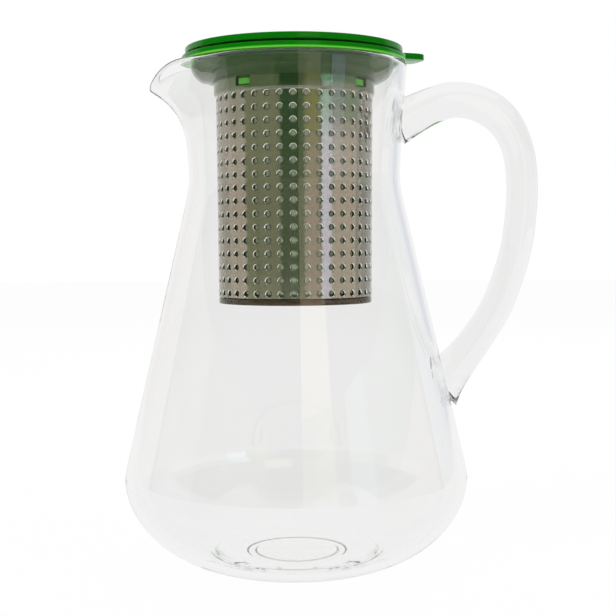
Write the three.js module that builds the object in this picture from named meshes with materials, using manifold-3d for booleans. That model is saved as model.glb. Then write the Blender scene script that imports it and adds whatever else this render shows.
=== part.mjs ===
// Iced tea maker: a glass jug whose lift-off lid carries a perforated brewing basket.
// Millimetres, +Z up. The origin is the centre of the jug's base, on the surface it stands on.
// The spout points along -X and the handle along +X.
import * as THREE from 'three';
import { mergeVertices } from 'three/addons/utils/BufferGeometryUtils.js';
import Module from 'manifold-3d';

const wasm = await Module();
wasm.setup();

// Fits and facets
const runningGap = 0.35;
const seatGap = 0.3;
const overrun = 1;
const roundSides = 48;
const edgeChamfer = 0.4;

// Jug glass
const footRadius = 26;
const bellyRadius = 73.5;
const bellyHeight = 39;
const bellyCorner = 40.6;
const bellyBend = 10;
const baseRoundness = 1.9;
const neckRadius = 44.9;
const neckHeight = 167.5;
const neckCorner = 162.8;
const neckBend = 9;
const rimRadius = 48;
const rimHeight = 214.4;
const flareBulge = 0.9;
const jugWall = 3;
const jugFloor = 4.8;
const padRadius = 17.6;
const footLand = 4;
const footGroove = 0.8;

// Pouring lip
const lipReach = 12.7;
const lipDroop = 10.2;
const lipHalfAngle = 31;
const lipCurl = 6;
const lipFall = 1.8;

// Handle: centre-line places are shares of its reach past the wall and of its height
const handleTopHeight = 199.3;
const handleReach = 97.6;
const handleThickness = 13.3;
const handleWidth = 17;
const handleRootGrowth = 1.3;
const handleFootGrowth = 1.75;
const handleTopGrowth = 1.13;
const handleTopFade = [0.24, 0.36];
const upperRootHeight = 189.5;
const lowerRootHeight = 77.5;
const spineFoot = 79.5;
// How far the lower end carries on inside the glass, inwards and down, before it is cut
const footReach = [1.4, 1.6];
const handleSpineShares = [
  [0.266, 0.981], [0.41, 1], [0.556, 0.997], [0.7, 0.975], [0.824, 0.936], [0.917, 0.877],
  [0.973, 0.808], [1, 0.69], [0.985, 0.574], [0.947, 0.463], [0.875, 0.355], [0.786, 0.257],
  [0.666, 0.171], [0.552, 0.102],
];
const handleSteps = 26;
const handleSides = 12;

// Brewing basket
const columns = 36;
const rows = 16;
const rowPitch = 5.41;
const holeDiameter = 2.1;
const holeSides = 4;
const basketTopRadius = 33.3;
const basketBottomRadius = 32.7;
const basketWall = 1.7;
const basketHang = 101.3;
const basketBottom = rimHeight - basketHang;
const baseBand = 2.5;
const baseFloor = 1.8;
const spigotWall = 1.2;
const firstRowRise = 2.2;
const collarRadius = 34.2;
const collarWall = 1.3;
const collarRise = 11.4;
const topMargin = 1.4;

// Snap lugs and their windows in the collar
const lugCount = 4;
const lugAzimuth = -37;
const lugWidth = 5.6;
const lugHeight = 2.4;
const lugReach = 0.9;
const windowWidth = 7.2;
const windowHeight = 3.8;
const windowRise = 0.7;

// Lid ring and its centring skirt
const flangeRadius = 47.7;
const flangeThickness = 2.5;
const landOuterRadius = 43;
const landInnerRadius = 35;
const discGap = 1.1;
const plugRadius = 42.4;
const plugWall = 1.8;
const plugDepth = 1.2;
const lugSleeveWall = 0.97;
const lugSleeveLift = 0.5;
const skirtWall = 1.1;
const skirtDepth = 6.8;
const skirtSteps = 5;

// Turning disc with its thumb tab and the keyed hub that plugs into the inner sleeve
const discRadius = 46.2;
const discThickness = 2.6;
const discRecess = 0.8;
const discRim = 3.9;
const tabAzimuth = 20;
const tabReach = 13.2;
const tabWidth = 16;
const tabCorner = 5;
const hubWall = 1.8;
const hubDepth = 10.8;
const keyAzimuths = [90, 270];
const keyWidth = 4;
const keyDepth = 3;

// Slotted inner sleeve, which hangs from the lid ring by its flange, and the steel mesh
const shutterWall = 1.3;
const shutterFlangeWidth = 2.3;
const shutterFlangeThickness = 1.2;
const shutterSeatDepth = 1;
const shutterFloor = 1;
const shutterFloorRing = 2.2;
const slotWidth = 2.5;
const crossBarWidth = 2.4;
const meshThickness = 0.4;

const degrees = THREE.MathUtils.degToRad;
const lerp = THREE.MathUtils.lerp;

// Geometry helpers

// The signed volume of an indexed geometry, positive when its faces point out.
function signedVolume(geometry) {
  const place = geometry.attributes.position;
  const index = geometry.index.array;
  const a = new THREE.Vector3();
  const b = new THREE.Vector3();
  const c = new THREE.Vector3();
  let six = 0;
  for (let i = 0; i < index.length; i += 3) {
    a.fromBufferAttribute(place, index[i]);
    b.fromBufferAttribute(place, index[i + 1]);
    c.fromBufferAttribute(place, index[i + 2]);
    six += a.dot(b.cross(c));
  }
  return six / 6;
}

// A welded copy of a closed geometry, without flat triangles, whose faces point out.
function closed(geometry) {
  const bare = geometry.clone();
  bare.deleteAttribute('normal');
  bare.deleteAttribute('uv');
  const welded = mergeVertices(bare, 1e-5);
  const old = welded.index.array;
  const index = [];
  for (let i = 0; i < old.length; i += 3) {
    const [a, b, c] = [old[i], old[i + 1], old[i + 2]];
    if (a !== b && b !== c && c !== a) index.push(a, b, c);
  }
  welded.setIndex(index);
  if (signedVolume(welded) < 0) {
    for (let i = 0; i < index.length; i += 3) {
      [index[i + 1], index[i + 2]] = [index[i + 2], index[i + 1]];
    }
    welded.setIndex(index);
  }
  return welded;
}

function toSolid(geometry) {
  const shell = closed(geometry);
  const mesh = new wasm.Mesh({
    numProp: 3,
    vertProperties: new Float32Array(shell.attributes.position.array),
    triVerts: new Uint32Array(shell.index.array),
  });
  return new wasm.Manifold(mesh);
}

function fromSolid(solid) {
  const mesh = solid.getMesh();
  const geometry = new THREE.BufferGeometry();
  geometry.setAttribute('position', new THREE.BufferAttribute(mesh.vertProperties, 3));
  geometry.setIndex(new THREE.BufferAttribute(mesh.triVerts, 1));
  return geometry;
}

function join(geometry, ...others) {
  return fromSolid(others.reduce((sum, other) => sum.add(toSolid(other)), toSolid(geometry)));
}

function cut(geometry, ...cutters) {
  const whole = toSolid(geometry);
  return fromSolid(cutters.reduce((left, cutter) => left.subtract(toSolid(cutter)), whole));
}

// A closed profile of [radius, height] points turned about the Z axis.
function revolve(profile, sides = roundSides) {
  const points = profile.map(([radius, height]) => new THREE.Vector2(radius, height));
  const onAxis = profile[0][0] === 0 && profile.at(-1)[0] === 0;
  if (!onAxis) points.push(points[0].clone());
  const lathe = new THREE.LatheGeometry(points, sides);
  return closed(lathe.rotateX(Math.PI / 2));
}

// A box that runs from one radius to another at an azimuth, between two heights.
function radialBox(azimuth, innerRadius, outerRadius, width, bottom, top) {
  const box = new THREE.BoxGeometry(outerRadius - innerRadius, width, top - bottom);
  box.translate((innerRadius + outerRadius) / 2, 0, (bottom + top) / 2);
  return box.rotateZ(degrees(azimuth));
}

// A closed surface through rings of points: every ring has as many points, and a ring of
// one point is a pole. loop says that the last ring meets the first, as in a torus.
function ringsToGeometry(rings, loop = false) {
  const positions = [];
  const starts = rings.map((ring) => {
    const start = positions.length / 3;
    ring.forEach((point) => positions.push(point.x, point.y, point.z));
    return start;
  });
  const index = [];
  const count = Math.max(...rings.map((ring) => ring.length));
  const last = loop ? rings.length : rings.length - 1;
  for (let i = 0; i < last; i += 1) {
    const j = (i + 1) % rings.length;
    const place = (k, n) => starts[k] + (rings[k].length === 1 ? 0 : n % count);
    for (let n = 0; n < count; n += 1) {
      const [a, b, c, d] = [place(i, n), place(i, n + 1), place(j, n + 1), place(j, n)];
      if (a !== b) index.push(a, b, c);
      if (c !== d) index.push(a, c, d);
    }
  }
  const geometry = new THREE.BufferGeometry();
  geometry.setAttribute('position', new THREE.Float32BufferAttribute(positions, 3));
  geometry.setIndex(index);
  return closed(geometry);
}

// Jug

const bend = (a, b, c, t) => (1 - t) ** 2 * a + 2 * t * (1 - t) * b + t ** 2 * c;

// The outline from the foot to the neck as [radius, height]: a superellipse quarter, a
// bend into the straight flank, and a bend into the neck.
function lowerOutline() {
  const outline = [];
  const roundSteps = 8;
  for (let i = 0; i <= roundSteps; i += 1) {
    const angle = (i / roundSteps) * (Math.PI / 2);
    const swell = Math.sin(angle) ** (2 / baseRoundness);
    const rise = 1 - Math.cos(angle) ** (2 / baseRoundness);
    outline.push([lerp(footRadius, bellyRadius, swell), bellyHeight * rise]);
  }
  const slope = (bellyRadius - neckRadius) / (neckCorner - bellyCorner);
  const flank = (height) => [bellyRadius - slope * (height - bellyCorner), height];
  const flankFoot = flank(bellyCorner + bellyBend);
  const flankTop = flank(neckCorner - neckBend);
  const bendSteps = 3;
  for (let i = 1; i <= bendSteps; i += 1) {
    const t = i / bendSteps;
    outline.push([
      bend(bellyRadius, bellyRadius, flankFoot[0], t),
      bend(bellyHeight, bellyCorner, flankFoot[1], t),
    ]);
  }
  outline.push(flank((flankFoot[1] + flankTop[1]) / 2));
  for (let i = 0; i <= bendSteps; i += 1) {
    const t = i / bendSteps;
    outline.push([
      bend(flankTop[0], neckRadius, neckRadius, t),
      bend(flankTop[1], neckCorner, neckHeight, t),
    ]);
  }
  return outline;
}

const outerOutline = lowerOutline();

// The neck's outer radius away from the lip, which flares towards the rim.
function neckRadiusAt(height) {
  const t = (height - neckHeight) / (rimHeight - neckHeight);
  return bend(neckRadius, neckRadius + flareBulge, rimRadius, t);
}

// The jug's outer radius at a height, away from the lip and the handle.
function jugRadiusAt(height) {
  if (height >= neckHeight) return neckRadiusAt(height);
  const i = Math.max(1, outerOutline.findIndex((point) => point[1] >= height));
  const [low, high] = [outerOutline[i - 1], outerOutline[i]];
  return lerp(low[0], high[0], (height - low[1]) / (high[1] - low[1]));
}

// How much an azimuth in radians belongs to the lip: 1 at its middle, 0 beside it.
function lipShare(azimuth) {
  const off = Math.abs(azimuth - Math.PI) / degrees(lipHalfAngle);
  return off < 1 ? Math.cos((off * Math.PI) / 2) ** 2 : 0;
}

// A point of the neck's outer face: s runs from 0 at the neck to 1 at the rim's edge.
function neckPoint(azimuth, s) {
  const share = lipShare(azimuth);
  const edge = rimHeight - jugWall / 2;
  const radius = neckRadiusAt(lerp(neckHeight, edge, s)) + lipReach * share * s ** lipCurl;
  const height = lerp(neckHeight, edge - lipDroop * share ** lipFall, s);
  return new THREE.Vector3(radius * Math.cos(azimuth), radius * Math.sin(azimuth), height);
}

// The unit tangent up the neck's face and its outward normal at a point.
function neckFrame(azimuth, s) {
  const step = 1e-3;
  const up = neckPoint(azimuth, s + step).sub(neckPoint(azimuth, s - step)).normalize();
  const along = neckPoint(azimuth + step, s).sub(neckPoint(azimuth - step, s));
  return { up, out: new THREE.Vector3().crossVectors(along, up).normalize() };
}

// The jug's columns in radians, closer together across the lip.
function jugAzimuths() {
  const lipColumns = 12;
  const bodyColumns = 30;
  const half = degrees(lipHalfAngle);
  const azimuths = [];
  for (let i = 0; i < lipColumns; i += 1) {
    azimuths.push(Math.PI - half + (2 * half * i) / lipColumns);
  }
  for (let i = 0; i < bodyColumns; i += 1) {
    azimuths.push(Math.PI + half + ((2 * Math.PI - 2 * half) * i) / bodyColumns);
  }
  return azimuths;
}

function circle(azimuths, radius, height) {
  return azimuths.map(
    (a) => new THREE.Vector3(radius * Math.cos(a), radius * Math.sin(a), height),
  );
}

// The inner face of the lower outline: each point moved in along its normal by the wall,
// down to the flat floor, which it meets in a corner.
function innerOutline() {
  const inside = outerOutline.map(([radius, height], i) => {
    const before = outerOutline[Math.max(0, i - 1)];
    const after = outerOutline[Math.min(outerOutline.length - 1, i + 1)];
    const along = new THREE.Vector2(after[0] - before[0], after[1] - before[1]).normalize();
    return [radius - along.y * jugWall, height + along.x * jugWall];
  });
  const above = inside.findIndex(([, height]) => height > jugFloor);
  const [low, high] = [inside[above - 1], inside[above]];
  const corner = lerp(low[0], high[0], (jugFloor - low[1]) / (high[1] - low[1]));
  return [[corner, jugFloor], ...inside.slice(above)];
}

// The glass as one skin: over the underside, up the outside, round the rim and down inside.
function jugBody() {
  const azimuths = jugAzimuths();
  const neckSteps = [0.3, 0.52, 0.68, 0.8, 0.91, 1];
  const rings = [
    [new THREE.Vector3(0, 0, 0)],
    circle(azimuths, padRadius, 0),
    circle(azimuths, padRadius + footGroove, footGroove),
    circle(azimuths, footRadius - footLand - footGroove, footGroove),
    circle(azimuths, footRadius - footLand, 0),
  ];
  outerOutline.forEach(([radius, height]) => rings.push(circle(azimuths, radius, height)));
  neckSteps.forEach((s) => rings.push(azimuths.map((a) => neckPoint(a, s))));
  [0.25, 0.5, 0.75].forEach((turn) => {
    rings.push(azimuths.map((a) => {
      const { up, out } = neckFrame(a, 1);
      const middle = neckPoint(a, 1).addScaledVector(out, -jugWall / 2);
      middle.addScaledVector(out, (jugWall / 2) * Math.cos(turn * Math.PI));
      return middle.addScaledVector(up, (jugWall / 2) * Math.sin(turn * Math.PI));
    }));
  });
  [...neckSteps].reverse().forEach((s) => {
    rings.push(azimuths.map(
      (a) => neckPoint(a, s).addScaledVector(neckFrame(a, s).out, -jugWall),
    ));
  });
  innerOutline().reverse().forEach(([radius, height]) => {
    rings.push(circle(azimuths, radius, height));
  });
  rings.push([new THREE.Vector3(0, 0, jugFloor)]);
  return ringsToGeometry(rings);
}

// The handle is an oval band carried along a curve, thicker at its roots and its top, whose ends
// are cut to the jug's outline.
function jugHandle() {
  const upperRoot = jugRadiusAt(upperRootHeight);
  const lowerRoot = jugRadiusAt(lowerRootHeight);
  const spine = new THREE.CatmullRomCurve3([
    new THREE.Vector3(upperRoot - jugWall, 0, upperRootHeight),
    ...handleSpineShares.map(([reach, rise]) => new THREE.Vector3(
      lerp(neckRadius, handleReach, reach),
      0,
      lerp(spineFoot, handleTopHeight, rise),
    )),
    new THREE.Vector3(lowerRoot - jugWall - footReach[0], 0, lowerRootHeight - footReach[1]),
  ], false, 'centripetal');
  const rings = [];
  for (let i = 0; i <= handleSteps; i += 1) {
    const t = i / handleSteps;
    const centre = spine.getPointAt(t);
    const along = spine.getTangentAt(t);
    const side = new THREE.Vector3(along.z, 0, -along.x);
    const rootShare = Math.abs(2 * t - 1) ** 8;
    const rootGrowth = t < 0.5 ? handleRootGrowth : handleFootGrowth;
    const topShare = 1 - THREE.MathUtils.smoothstep(t, ...handleTopFade);
    const thickness = handleThickness * (1 + (rootGrowth - 1) * rootShare)
      * (1 + (handleTopGrowth - 1) * topShare);
    const ring = [];
    for (let n = 0; n < handleSides; n += 1) {
      const angle = (2 * Math.PI * n) / handleSides;
      const point = centre.clone().addScaledVector(side, (thickness / 2) * Math.cos(angle));
      point.y = (handleWidth / 2) * Math.sin(angle);
      ring.push(point);
    }
    rings.push(ring);
  }
  const first = spine.getPointAt(0);
  const last = spine.getPointAt(1);
  const band = ringsToGeometry([[first], ...rings, [last]]);
  const grown = [
    [0, -overrun],
    ...outerOutline.map(([radius, height]) => [radius + seatGap, height]),
    [neckRadiusAt(rimHeight) + seatGap, rimHeight],
    [0, rimHeight],
  ];
  return cut(band, revolve(grown, jugAzimuths().length));
}

// Basket: every facet of the wall carries one column of holes

const facetAngle = (2 * Math.PI) / columns;
const baseTop = basketBottom + baseBand;
const wallBottom = baseTop + seatGap;
const firstRow = baseTop + firstRowRise;
const collarBottom = firstRow + (rows - 1) * rowPitch + topMargin;
const collarTop = collarBottom + collarRise;
const basketRadiusAt = (height) => lerp(
  basketBottomRadius,
  basketTopRadius,
  (height - basketBottom) / (collarBottom - basketBottom),
);

// A corner between two facets of a faceted tube.
function facetCorner(facet, radius, height) {
  const angle = ((facet % columns) - 0.5) * facetAngle;
  return new THREE.Vector3(radius * Math.cos(angle), radius * Math.sin(angle), height);
}

// One flat facet between two heights, with holes given anticlockwise as [across, height].
// radiusAt gives the radius of the facet's corners.
function holedFacet(facet, [bottom, top], radiusAt, holes) {
  const angle = facet * facetAngle;
  const normal = new THREE.Vector3(Math.cos(angle), Math.sin(angle), 0);
  const across = new THREE.Vector3(-normal.y, normal.x, 0);
  const half = Math.sin(facetAngle / 2);
  const flat = (points) => points.map(([x, z]) => new THREE.Vector2(x, z));
  const outline = flat([
    [-radiusAt(bottom) * half, bottom], [radiusAt(bottom) * half, bottom],
    [radiusAt(top) * half, top], [-radiusAt(top) * half, top],
  ]);
  const edges = holes.map((hole) => hole.map(([x, z]) => normal.clone()
    .multiplyScalar(radiusAt(z) * Math.cos(facetAngle / 2))
    .addScaledVector(across, x)
    .setZ(z)));
  const corners = [
    facetCorner(facet, radiusAt(bottom), bottom), facetCorner(facet + 1, radiusAt(bottom), bottom),
    facetCorner(facet + 1, radiusAt(top), top), facetCorner(facet, radiusAt(top), top),
  ];
  const faces = THREE.ShapeUtils.triangulateShape(outline, holes.map(flat));
  return { corners, edges, faces };
}

// A faceted tube whose facets carry holes. outer and inner give the radii of the corners
// of the holed faces over outerSpan and innerSpan; topRings and bottomRings are the
// [radius, height] corners that join them over the top and under the bottom.
function holedTube({ outer, inner, outerSpan, innerSpan, topRings, bottomRings, holes }) {
  const positions = [];
  const index = [];
  const add = (places, faces) => {
    const start = positions.length / 3;
    places.forEach((point) => positions.push(point.x, point.y, point.z));
    faces.forEach((face) => face.forEach((corner) => index.push(start + corner)));
  };
  const strip = (facet, rings) => {
    for (let i = 1; i < rings.length; i += 1) {
      const [low, high] = [rings[i - 1], rings[i]];
      add([
        facetCorner(facet, ...low), facetCorner(facet + 1, ...low),
        facetCorner(facet + 1, ...high), facetCorner(facet, ...high),
      ], [[0, 1, 2], [0, 2, 3]]);
    }
  };
  for (let facet = 0; facet < columns; facet += 1) {
    const front = holedFacet(facet, outerSpan, outer, holes);
    const back = holedFacet(facet, innerSpan, inner, holes);
    add([...front.corners, ...front.edges.flat()], front.faces);
    add([...back.corners, ...back.edges.flat()], back.faces.map(([a, b, c]) => [a, c, b]));
    front.edges.forEach((edge, i) => {
      const count = edge.length;
      edge.forEach((point, n) => {
        const next = (n + 1) % count;
        add([point, edge[next], back.edges[i][next], back.edges[i][n]], [[0, 1, 2], [0, 2, 3]]);
      });
    });
    strip(facet, [
      [outer(outerSpan[1]), outerSpan[1]], ...topRings, [inner(innerSpan[1]), innerSpan[1]],
    ]);
    strip(facet, [
      [inner(innerSpan[0]), innerSpan[0]], ...bottomRings, [outer(outerSpan[0]), outerSpan[0]],
    ]);
  }
  const geometry = new THREE.BufferGeometry();
  geometry.setAttribute('position', new THREE.Float32BufferAttribute(positions, 3));
  geometry.setIndex(index);
  return closed(geometry);
}

// The corners of one round hole, as many as holeSides.
function roundHole(height) {
  const corners = [];
  for (let n = 0; n < holeSides; n += 1) {
    const angle = (2 * Math.PI * n) / holeSides;
    corners.push([
      (holeDiameter / 2) * Math.cos(angle),
      height + (holeDiameter / 2) * Math.sin(angle),
    ]);
  }
  return corners;
}

const collarStep = collarRadius - basketTopRadius;
const ledge = collarBottom + collarStep;
const collarInner = collarRadius - collarWall;
const lugAzimuths = Array.from({ length: lugCount }, (_, i) => lugAzimuth + (360 / lugCount) * i);
const lugSleeveBottom = ledge + lugSleeveLift;
const windowBottom = lugSleeveBottom + windowRise;
const lugBottom = windowBottom + (windowHeight - lugHeight) / 2;
const lugSleeveRadius = collarInner * Math.cos(facetAngle / 2) - runningGap;
const lugRadius = lugSleeveRadius + lugReach;

function basketWallPiece() {
  const holes = [];
  for (let row = 0; row < rows; row += 1) holes.push(roundHole(firstRow + row * rowPitch));
  const outer = basketRadiusAt;
  const inner = (height) => basketRadiusAt(height) - basketWall;
  const wall = holedTube({
    outer,
    inner,
    outerSpan: [wallBottom, collarBottom],
    innerSpan: [wallBottom, collarBottom],
    topRings: [
      [collarRadius, ledge], [collarRadius, collarTop], [collarInner, collarTop],
      [collarInner, ledge],
    ],
    bottomRings: [],
    holes,
  });
  const cutters = lugAzimuths.flatMap((azimuth) => [
    radialBox(azimuth, collarInner - overrun, collarRadius + overrun, windowWidth,
      windowBottom, windowBottom + windowHeight),
    radialBox(azimuth, collarInner - overrun, lugRadius + seatGap, lugWidth + 2 * seatGap,
      windowBottom + overrun, collarTop + overrun),
  ]);
  return cut(wall, ...cutters);
}

const shutterBottom = baseTop + 2 * runningGap;

function basketBase() {
  const outer = basketBottomRadius;
  const spigot = (basketBottomRadius - basketWall) * Math.cos(facetAngle / 2) - seatGap;
  const spigotTop = shutterBottom - runningGap;
  return revolve([
    [0, basketBottom],
    [outer - edgeChamfer, basketBottom],
    [outer, basketBottom + edgeChamfer],
    [outer, baseTop],
    [spigot, baseTop],
    [spigot, spigotTop],
    [spigot - spigotWall, spigotTop],
    [spigot - spigotWall, basketBottom + baseFloor],
    [0, basketBottom + baseFloor],
  ], columns).rotateZ(facetAngle / 2);
}

// Inner sleeve with one slot for each column of holes

const shutterRadiusAt = (height) => (
  (basketRadiusAt(height) - basketWall) * Math.cos(facetAngle / 2) - runningGap
);
const shutterInnerAt = (height) => shutterRadiusAt(height) - shutterWall;
const slotBottom = shutterBottom + shutterFloor + seatGap;
const slottedTop = collarBottom;
const slotTop = firstRow + (rows - 1) * rowPitch + holeDiameter / 2;

// Lid: ring, skirt, disc and hub

const flangeBottom = rimHeight + seatGap;
const flangeTop = flangeBottom + flangeThickness;
const discBottom = flangeTop + discGap;
const discTop = discBottom + discThickness;
const lugSleeveInner = lugSleeveRadius - lugSleeveWall;
const plugBottom = flangeBottom - plugDepth;
const shutterSeat = flangeTop - shutterSeatDepth;
const shutterFlangeBottom = shutterSeat + runningGap;
const shutterTop = shutterFlangeBottom + shutterFlangeThickness;
const shutterFlangeRadius = shutterRadiusAt(slottedTop) + shutterFlangeWidth;

function lidRing() {
  const ring = revolve([
    [lugSleeveInner, lugSleeveBottom],
    [lugSleeveRadius, lugSleeveBottom],
    [lugSleeveRadius, flangeBottom],
    [plugRadius - plugWall, flangeBottom],
    [plugRadius - plugWall, plugBottom],
    [plugRadius, plugBottom],
    [plugRadius, flangeBottom],
    [flangeRadius - edgeChamfer, flangeBottom],
    [flangeRadius, flangeBottom + edgeChamfer],
    [flangeRadius, flangeTop - edgeChamfer],
    [flangeRadius - edgeChamfer, flangeTop],
    [landOuterRadius, flangeTop],
    [landOuterRadius, discBottom - runningGap],
    [landInnerRadius, discBottom - runningGap],
    [landInnerRadius, flangeTop],
    [shutterFlangeRadius + 2 * runningGap, flangeTop],
    [shutterFlangeRadius + 2 * runningGap, shutterSeat],
    [lugSleeveInner, shutterSeat],
  ]);
  const lugs = lugAzimuths.map((azimuth) => radialBox(
    azimuth,
    lugSleeveRadius - lugSleeveWall / 2,
    lugRadius,
    lugWidth,
    lugBottom,
    lugBottom + lugHeight,
  ));
  return join(ring, ...lugs);
}

// A bowl-shaped skirt: a quarter of an ellipse from the plug's edge to the collar.
function centringSkirt() {
  const skirtTop = plugBottom - seatGap;
  const narrow = collarRadius + runningGap;
  const quarter = (wide, deep) => Array.from({ length: skirtSteps + 1 }, (_, i) => {
    const angle = (i / skirtSteps) * (Math.PI / 2);
    return [lerp(narrow, wide, Math.cos(angle)), skirtTop - deep * Math.sin(angle)];
  });
  const outside = quarter(plugRadius, skirtDepth);
  const inside = quarter(plugRadius - skirtWall, skirtDepth - skirtWall);
  return revolve([...outside, ...inside.reverse()]);
}

const hubRadius = shutterInnerAt(slottedTop) * Math.cos(facetAngle / 2) - runningGap;
const hubBottom = discBottom - hubDepth;

function turnDisc() {
  const disc = revolve([
    [0, discTop - discRecess],
    [discRadius - discRim - discRecess, discTop - discRecess],
    [discRadius - discRim, discTop],
    [discRadius - edgeChamfer, discTop],
    [discRadius, discTop - edgeChamfer],
    [discRadius, discBottom + edgeChamfer],
    [discRadius - edgeChamfer, discBottom],
    [hubRadius, discBottom],
    [hubRadius, hubBottom + edgeChamfer],
    [hubRadius - edgeChamfer, hubBottom],
    [hubRadius - hubWall, hubBottom],
    [hubRadius - hubWall, discBottom],
    [0, discBottom],
  ]);
  const keys = keyAzimuths.map((azimuth) => radialBox(
    azimuth,
    hubRadius - hubWall / 2,
    shutterRadiusAt(slottedTop) - seatGap,
    keyWidth,
    discBottom - keyDepth,
    discBottom + edgeChamfer,
  ));
  return join(disc, thumbTab(), ...keys);
}

// The thumb tab: a flat tongue with rounded corners, as thick as the disc's edge.
function thumbTab() {
  const inner = discRadius - discRim / 2;
  const outer = discRadius + tabReach;
  const half = tabWidth / 2;
  const outline = new THREE.Shape();
  outline.moveTo(inner, -half);
  outline.lineTo(outer - tabCorner, -half);
  outline.absarc(outer - tabCorner, tabCorner - half, tabCorner, -Math.PI / 2, 0, false);
  outline.absarc(outer - tabCorner, half - tabCorner, tabCorner, 0, Math.PI / 2, false);
  outline.lineTo(inner, half);
  const tab = new THREE.ExtrudeGeometry(outline, {
    depth: discThickness - 2 * edgeChamfer,
    bevelThickness: edgeChamfer,
    bevelSize: edgeChamfer,
    bevelOffset: -edgeChamfer,
    bevelSegments: 1,
    curveSegments: 4,
  });
  return tab.translate(0, 0, discBottom + edgeChamfer).rotateZ(degrees(tabAzimuth));
}

function brewSleeve() {
  const slot = [
    [-slotWidth / 2, slotBottom], [slotWidth / 2, slotBottom],
    [slotWidth / 2, slotTop], [-slotWidth / 2, slotTop],
  ];
  const floorTop = shutterBottom + shutterFloor;
  const floorRadius = shutterInnerAt(floorTop) - shutterFloorRing;
  const sleeve = holedTube({
    outer: shutterRadiusAt,
    inner: shutterInnerAt,
    outerSpan: [shutterBottom, slottedTop],
    innerSpan: [floorTop, slottedTop],
    topRings: [
      [shutterRadiusAt(slottedTop), shutterFlangeBottom],
      [shutterFlangeRadius, shutterFlangeBottom],
      [shutterFlangeRadius, shutterTop],
      [shutterInnerAt(slottedTop), shutterTop],
    ],
    bottomRings: [[floorRadius, floorTop], [floorRadius, shutterBottom]],
    holes: [slot],
  });
  const length = 2 * floorRadius + shutterFloorRing;
  const bar = new THREE.BoxGeometry(length, crossBarWidth, shutterFloor);
  bar.translate(0, 0, shutterBottom + shutterFloor / 2);
  const keyways = keyAzimuths.map((azimuth) => radialBox(
    azimuth,
    hubRadius,
    shutterFlangeRadius + overrun,
    keyWidth + 2 * seatGap,
    discBottom - keyDepth - seatGap,
    shutterTop + overrun,
  ));
  return cut(join(sleeve, bar, bar.clone().rotateZ(Math.PI / 2)), ...keyways);
}

const floorMeshBottom = shutterBottom + shutterFloor + seatGap;
const sideMeshBottom = floorMeshBottom + meshThickness + seatGap;
const sideMeshTop = slottedTop - seatGap;

function sideMesh() {
  const radiusAt = (height) => shutterInnerAt(height) - seatGap;
  return revolve([
    [radiusAt(sideMeshBottom), sideMeshBottom],
    [radiusAt(sideMeshTop), sideMeshTop],
    [radiusAt(sideMeshTop) - meshThickness, sideMeshTop],
    [radiusAt(sideMeshBottom) - meshThickness, sideMeshBottom],
  ], columns).rotateZ(facetAngle / 2);
}

function floorMesh() {
  const radius = shutterInnerAt(floorMeshBottom) * Math.cos(facetAngle / 2) - seatGap;
  return revolve([
    [0, floorMeshBottom], [radius, floorMeshBottom],
    [radius, floorMeshBottom + meshThickness], [0, floorMeshBottom + meshThickness],
  ], columns);
}

// Finishes

const finish = (color, roughness, metalness, opacity = 1) => ({
  color, roughness, metalness, opacity, transparent: opacity < 1,
});
const clearGlass = finish('#e9eeec', 0.03, 0, 0.3);
const greenPlastic = finish('#12861a', 0.15, 0, 0.9);
const paleSilicone = finish('#a9cfa6', 0.4, 0, 0.8);
const smokePlastic = finish('#9c9585', 0.12, 0, 0.75);
const darkPlastic = finish('#3b3328', 0.15, 0);
const steelMesh = finish('#9a958c', 0.4, 0.9);

function piece(name, geometry, values) {
  const flat = geometry.index ? geometry.toNonIndexed() : geometry;
  flat.computeVertexNormals();
  const mesh = new THREE.Mesh(closed(flat), new THREE.MeshStandardMaterial(values));
  mesh.name = name;
  return mesh;
}

// The assembly

const jug = new THREE.Group();
jug.add(
  piece('jug_body', jugBody(), clearGlass),
  piece('jug_handle', jugHandle(), clearGlass),
);

const basket = new THREE.Group();
basket.add(
  piece('basket_wall', basketWallPiece(), smokePlastic),
  piece('basket_base', basketBase(), darkPlastic),
);

const cap = new THREE.Group();
cap.add(piece('turn_disc', turnDisc(), greenPlastic));

const control = new THREE.Group();
control.add(
  cap,
  piece('brew_sleeve', brewSleeve(), smokePlastic),
  piece('side_mesh', sideMesh(), steelMesh),
  piece('floor_mesh', floorMesh(), steelMesh),
);

const lid = new THREE.Group();
lid.add(
  piece('lid_ring', lidRing(), greenPlastic),
  piece('centring_skirt', centringSkirt(), paleSilicone),
  control,
  basket,
);

const maker = new THREE.Group();
maker.add(jug, lid);

export default maker;
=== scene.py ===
"""Iced tea maker: a clear glass jug with a green brewing lid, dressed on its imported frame.

Sizes are in millimetres in the classes, in the frame of the part's source: +Z is up, the
spout points along -X, the handle along +X, and the jug stands on Z = 0. Every mesh is made
in metres, with its object at the origin.
"""

import logging
import math
from dataclasses import dataclass, field
from enum import Enum
from typing import Any, Sequence

import bmesh
import bpy
import numpy as np
from mathutils import Euler, Matrix

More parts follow.
